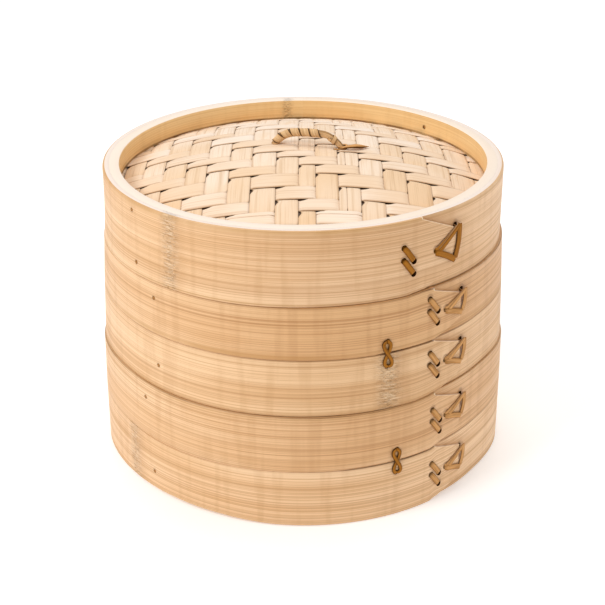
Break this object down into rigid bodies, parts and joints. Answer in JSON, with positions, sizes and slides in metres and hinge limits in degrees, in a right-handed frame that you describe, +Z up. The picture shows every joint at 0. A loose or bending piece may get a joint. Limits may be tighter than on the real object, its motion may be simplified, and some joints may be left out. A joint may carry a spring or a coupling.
{
  "type": "bamboo steamer basket",
  "caption": "Round stacking bamboo steamer basket with lapped, laced hoops, slatted floors and a domed woven lid with a cane loop handle.",
  "frame": {"origin": "on the steamer's axis, at the base it stands on", "axes": "+Z up along the axis of the hoops; -Y is the front, where the lacing lies to the right"},
  "size_m": [0.2058, 0.2058, 0.1674],
  "materials": {
    "outer_bamboo": "smooth split bamboo with fine grain along the band",
    "inner_bamboo": "smooth golden bamboo",
    "splint": "pale matt bamboo splints",
    "rattan": "dark split rattan strand, slightly glossy",
    "cane": "light cane, slightly glossy"
  },
  "bodies": {
    "lower_tier": {"lower_tier_inner_hoop": "inner_bamboo", "lower_tier_lower_band": "outer_bamboo", "lower_tier_upper_band": "outer_bamboo", "lower_tier_crossbar_left": "outer_bamboo", "lower_tier_crossbar_right": "outer_bamboo", "lower_tier_seam_tie": "rattan", "lower_tier_peg_lower": "rattan", "lower_tier_peg_upper": "rattan", "lower_tier_slat_1": "splint", "lower_tier_slat_2": "splint", "lower_tier_slat_3": "splint", "lower_tier_slat_4": "splint", "lower_tier_slat_5": "splint", "lower_tier_slat_6": "splint", "lower_tier_slat_7": "splint", "lower_tier_slat_8": "splint", "lower_tier_slat_9": "splint", "lower_tier_lower_band_triangle": "rattan", "lower_tier_lower_band_stitch_upper": "rattan", "lower_tier_lower_band_stitch_lower": "rattan", "lower_tier_upper_band_triangle": "rattan", "lower_tier_upper_band_stitch_upper": "rattan", "lower_tier_upper_band_stitch_lower": "rattan"},
    "upper_tier": {"upper_tier_inner_hoop": "inner_bamboo", "upper_tier_lower_band": "outer_bamboo", "upper_tier_upper_band": "outer_bamboo", "upper_tier_crossbar_left": "outer_bamboo", "upper_tier_crossbar_right": "outer_bamboo", "upper_tier_seam_tie": "rattan", "upper_tier_peg_lower": "rattan", "upper_tier_peg_upper": "rattan", "upper_tier_slat_1": "splint", "upper_tier_slat_2": "splint", "upper_tier_slat_3": "splint", "upper_tier_slat_4": "splint", "upper_tier_slat_5": "splint", "upper_tier_slat_6": "splint", "upper_tier_slat_7": "splint", "upper_tier_slat_8": "splint", "upper_tier_slat_9": "splint", "upper_tier_lower_band_triangle": "rattan", "upper_tier_lower_band_stitch_upper": "rattan", "upper_tier_lower_band_stitch_lower": "rattan", "upper_tier_upper_band_triangle": "rattan", "upper_tier_upper_band_stitch_upper": "rattan", "upper_tier_upper_band_stitch_lower": "rattan"},
    "lid": {"lid_hoop": "outer_bamboo", "lid_hoop_triangle": "rattan", "lid_hoop_stitch_upper": "rattan", "lid_hoop_stitch_lower": "rattan", "lid_rim_liner": "inner_bamboo", "lid_support_ring": "inner_bamboo", "lid_woven_panel": "splint", "lid_peg_left": "rattan", "lid_peg_back": "rattan", "lid_peg_hem": "rattan", "handle_core": "cane", "handle_wrap": "cane", "handle_knot": "rattan"}
  },
  "joints": [
    {"name": "upper_tier_lift", "type": "slide", "parent": "lower_tier", "child": "upper_tier", "axis": [0, 0, 1], "range_m": [0, 0.12]},
    {"name": "lid_lift", "type": "slide", "parent": "upper_tier", "child": "lid", "axis": [0, 0, 1], "range_m": [0, 0.12]}
  ]
}
